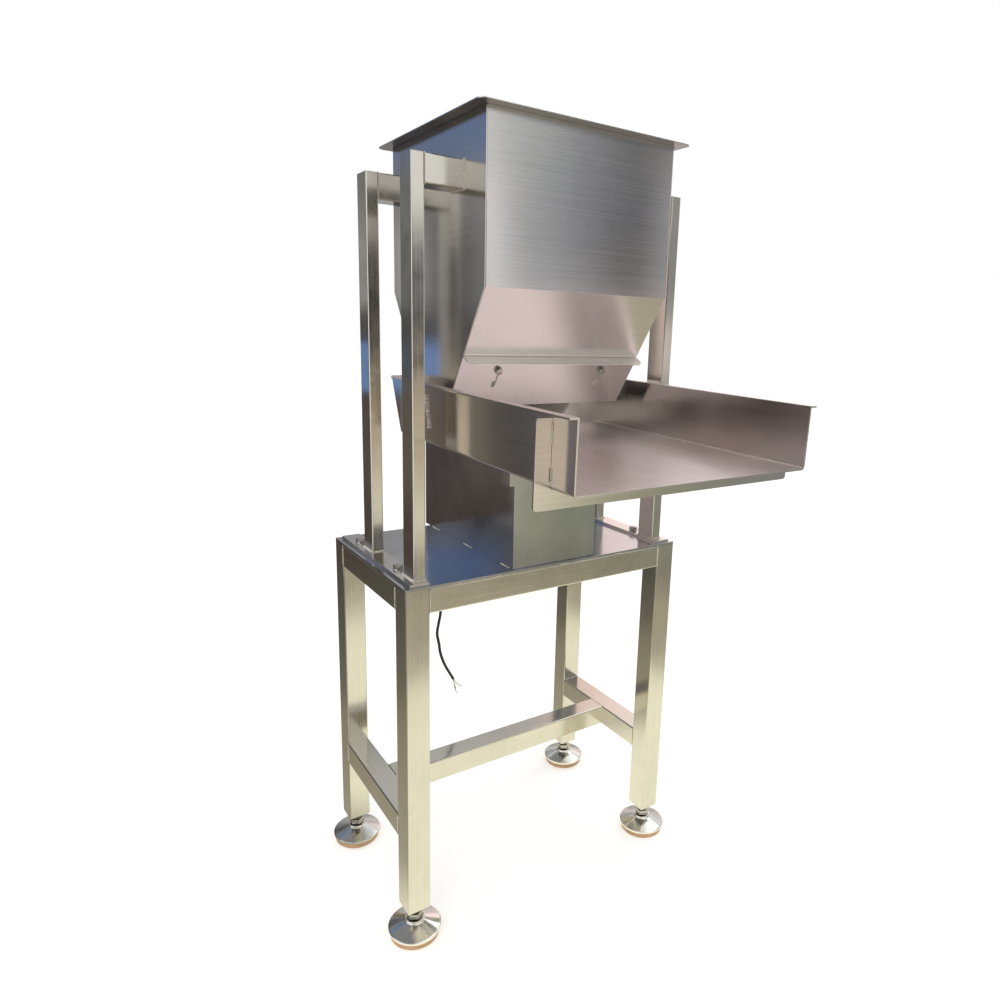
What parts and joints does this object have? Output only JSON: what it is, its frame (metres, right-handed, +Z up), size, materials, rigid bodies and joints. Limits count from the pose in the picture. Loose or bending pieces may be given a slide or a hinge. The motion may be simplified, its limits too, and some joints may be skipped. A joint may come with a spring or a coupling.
{
  "type": "vibratory feeder",
  "caption": "Free-standing vibratory feeder: open hopper with a sliding gate over a wide spring-driven tray, on a square-tube stand with levelling feet.",
  "frame": {"origin": "on the floor, at the middle of the footprint of the whole machine without its cable", "axes": "+Z up, -Y towards the tray's open front end, +X to the right of someone who faces +Y"},
  "size_m": [0.74, 0.8312, 1.615],
  "materials": {
    "stainless_tube": "satin, brushed along the tube",
    "stainless_sheet": "satin sheet",
    "stainless_dark": "satin sheet, darker",
    "polished_steel": "turned and polished",
    "fasteners": "bright hexagon fasteners",
    "spring_steel": "ground spring steel",
    "cast_grey": "grey primer on heavy steel",
    "laminated_steel": "varnished laminations",
    "copper_winding": "lacquered copper winding",
    "black_rubber": "moulded rubber",
    "tan_rubber": "tan rubber pad",
    "black_plastic": "moulded polyamide",
    "cable_jacket": "black cable jacket",
    "bare_wire": "bare tinned copper"
  },
  "bodies": {
    "stand": {"leg_front_left": "stainless_tube", "leg_front_right": "stainless_tube", "leg_rear_left": "stainless_tube", "leg_rear_right": "stainless_tube", "rail_front": "stainless_tube", "rail_rear": "stainless_tube", "rail_left": "stainless_tube", "rail_right": "stainless_tube", "stretcher_left": "stainless_tube", "stretcher_right": "stainless_tube", "stretcher_centre": "stainless_tube", "table_plate": "stainless_dark", "base_strips": "stainless_sheet", "strip_bolts": "fasteners", "post_front_left": "stainless_tube", "post_front_right": "stainless_tube", "post_rear_left": "stainless_tube", "post_rear_right": "stainless_tube", "hopper_arms": "stainless_tube", "hopper_front": "stainless_sheet", "hopper_rear": "stainless_sheet", "hopper_side_left": "stainless_dark", "hopper_side_right": "stainless_dark", "hopper_flange": "stainless_dark", "gate_screws": "fasteners", "drive_base": "cast_grey", "lower_clamps": "cast_grey", "isolators": "black_rubber", "isolator_studs": "fasteners", "magnet_core": "laminated_steel", "magnet_coil": "copper_winding", "housing_shell": "stainless_dark", "housing_rear_cover": "stainless_dark", "cable_gland": "black_plastic", "power_cable": "cable_jacket", "cable_conductors": "bare_wire", "lock_nuts": "fasteners"},
    "gate": {"gate": "stainless_sheet"},
    "tray": {"tray_pan": "stainless_sheet", "tray_rear_panel": "stainless_sheet", "tray_collar": "stainless_sheet", "tray_skirt": "stainless_dark", "carrier": "cast_grey", "carrier_nuts": "fasteners", "armature": "laminated_steel", "upper_clamps": "cast_grey"},
    "front_springs": {"front_leaf_springs": "spring_steel"},
    "rear_springs": {"rear_leaf_springs": "spring_steel"},
    "foot_stud_front_left": {"foot_stud_front_left": "fasteners"},
    "foot_front_left": {"foot_base_front_left": "polished_steel", "foot_pad_front_left": "tan_rubber"},
    "foot_stud_front_right": {"foot_stud_front_right": "fasteners"},
    "foot_front_right": {"foot_base_front_right": "polished_steel", "foot_pad_front_right": "tan_rubber"},
    "foot_stud_rear_left": {"foot_stud_rear_left": "fasteners"},
    "foot_rear_left": {"foot_base_rear_left": "polished_steel", "foot_pad_rear_left": "tan_rubber"},
    "foot_stud_rear_right": {"foot_stud_rear_right": "fasteners"},
    "foot_rear_right": {"foot_base_rear_right": "polished_steel", "foot_pad_rear_right": "tan_rubber"}
  },
  "joints": [
    {"name": "gate_slide", "type": "slide", "parent": "stand", "child": "gate", "axis": [0, -0.5446, 0.8387], "range_m": [0, 0.038]},
    {"name": "tray_throw", "type": "slide", "parent": "stand", "child": "tray", "axis": [0, -0.9272, 0.3746], "range_m": [-0.001, 0.001], "stiffness_N_per_m": 400000, "springref_m": 0.00025},
    {"name": "front_spring_flex", "type": "hinge", "parent": "stand", "child": "front_springs", "pos_m": [0, 0.05221, 0.84143], "axis": [1, 0, 0], "range_deg": [-0.7, 0.7]},
    {"name": "rear_spring_flex", "type": "hinge", "parent": "stand", "child": "rear_springs", "pos_m": [0, 0.20843, 0.83892], "axis": [1, 0, 0], "range_deg": [-0.7, 0.7]},
    {"name": "foot_front_left_height", "type": "slide", "parent": "stand", "child": "foot_stud_front_left", "axis": [0, 0, -1], "range_m": [0, 0.025]},
    {"name": "foot_front_right_height", "type": "slide", "parent": "stand", "child": "foot_stud_front_right", "axis": [0, 0, -1], "range_m": [0, 0.025]},
    {"name": "foot_rear_left_height", "type": "slide", "parent": "stand", "child": "foot_stud_rear_left", "axis": [0, 0, -1], "range_m": [0, 0.025]},
    {"name": "foot_rear_right_height", "type": "slide", "parent": "stand", "child": "foot_stud_rear_right", "axis": [0, 0, -1], "range_m": [0, 0.025]},
    {"name": "foot_front_left_tilt", "type": "hinge", "parent": "foot_stud_front_left", "child": "foot_front_left", "pos_m": [-0.315, 0.01056, 0.027], "axis": [1, 0, 0], "range_deg": [-5, 5]},
    {"name": "foot_front_right_tilt", "type": "hinge", "parent": "foot_stud_front_right", "child": "foot_front_right", "pos_m": [0.315, 0.01056, 0.027], "axis": [1, 0, 0], "range_deg": [-5, 5]},
    {"name": "foot_rear_left_tilt", "type": "hinge", "parent": "foot_stud_rear_left", "child": "foot_rear_left", "pos_m": [-0.315, 0.36056, 0.027], "axis": [1, 0, 0], "range_deg": [-5, 5]},
    {"name": "foot_rear_right_tilt", "type": "hinge", "parent": "foot_stud_rear_right", "child": "foot_rear_right", "pos_m": [0.315, 0.36056, 0.027], "axis": [1, 0, 0], "range_deg": [-5, 5]}
  ],
  "couplings": [
    {"joint": "front_spring_flex", "follows": "tray_throw", "rad_per_m": 9.7226},
    {"joint": "rear_spring_flex", "follows": "tray_throw", "rad_per_m": 9.7226}
  ]
}
